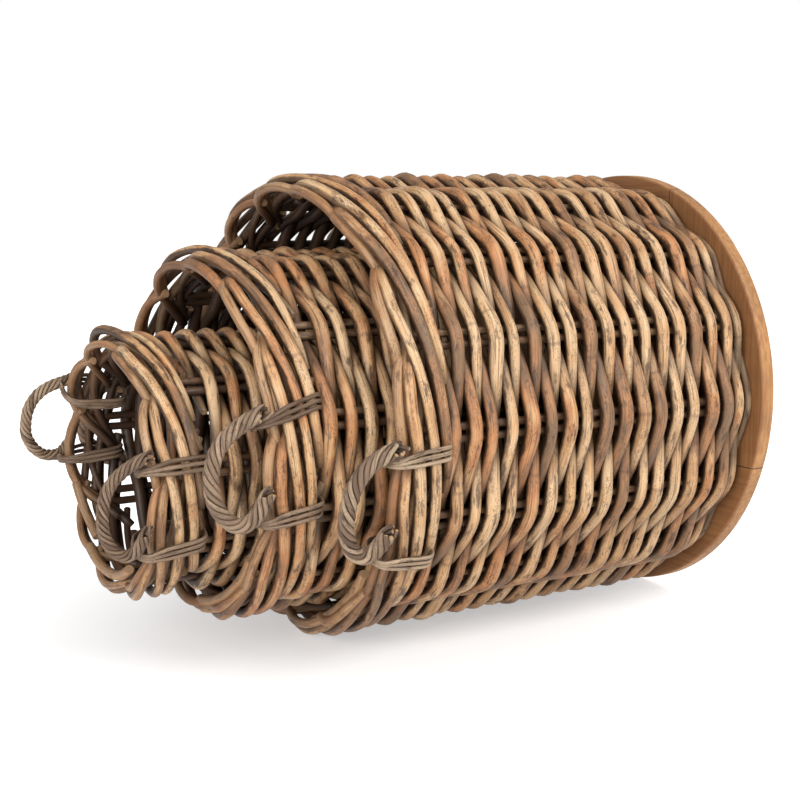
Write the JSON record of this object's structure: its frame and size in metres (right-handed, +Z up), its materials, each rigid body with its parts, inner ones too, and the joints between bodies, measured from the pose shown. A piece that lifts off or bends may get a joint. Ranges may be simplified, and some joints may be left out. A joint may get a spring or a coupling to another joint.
{
  "type": "nesting rattan baskets",
  "caption": "Set of round nesting baskets of thick woven rattan with rope handles and wooden base boards, lying on their sides and drawn out of one another.",
  "frame": {"origin": "middle of the bounding box at floor level, with the set lying on its side", "axes": "+X along the baskets towards their base boards, +Z up, -Y towards the side seen in the picture"},
  "size_m": [0.735, 0.5118, 0.5],
  "materials": {
    "weave_cane": "natural round cane, matt with a slight sheen, mottled tan to grey-brown",
    "border_cane": "natural round cane, a little paler than the wall",
    "board_wood": "oiled solid wood glued up from planks, satin",
    "rope_cane": "twisted strands of split cane, greyish and matt"
  },
  "bodies": {
    "large_basket": {"large_base_board": "board_wood", "large_stakes_and_border": "border_cane", "large_weave_band_1": "weave_cane", "large_weave_band_2": "weave_cane", "large_weave_band_3": "weave_cane", "large_weave_band_4": "weave_cane", "large_weave_band_5": "weave_cane", "large_weave_band_6": "weave_cane", "large_weave_band_7": "weave_cane", "large_weave_band_8": "weave_cane", "large_weave_foot": "weave_cane", "large_near_handle": "rope_cane", "large_near_lower_lashing": "rope_cane", "large_near_upper_lashing": "rope_cane", "large_far_handle": "rope_cane", "large_far_lower_lashing": "rope_cane", "large_far_upper_lashing": "rope_cane"},
    "medium_basket": {"medium_base_board": "board_wood", "medium_stakes_and_border": "border_cane", "medium_weave_band_1": "weave_cane", "medium_weave_band_2": "weave_cane", "medium_weave_band_3": "weave_cane", "medium_weave_band_4": "weave_cane", "medium_weave_foot": "weave_cane", "medium_near_handle": "rope_cane", "medium_near_lower_lashing": "rope_cane", "medium_near_upper_lashing": "rope_cane", "medium_far_handle": "rope_cane", "medium_far_lower_lashing": "rope_cane", "medium_far_upper_lashing": "rope_cane"},
    "small_basket": {"small_base_board": "board_wood", "small_stakes_and_border": "border_cane", "small_weave_band_1": "weave_cane", "small_weave_band_2": "weave_cane", "small_weave_foot": "weave_cane", "small_near_handle": "rope_cane", "small_near_lower_lashing": "rope_cane", "small_near_upper_lashing": "rope_cane", "small_far_handle": "rope_cane", "small_far_lower_lashing": "rope_cane", "small_far_upper_lashing": "rope_cane"}
  },
  "joints": [
    {"name": "medium_slide", "type": "slide", "parent": "large_basket", "child": "medium_basket", "axis": [1, 0, 0], "range_m": [-0.345, 0.135]},
    {"name": "small_slide", "type": "slide", "parent": "medium_basket", "child": "small_basket", "axis": [1, 0, 0], "range_m": [-0.268, 0.126]}
  ]
}
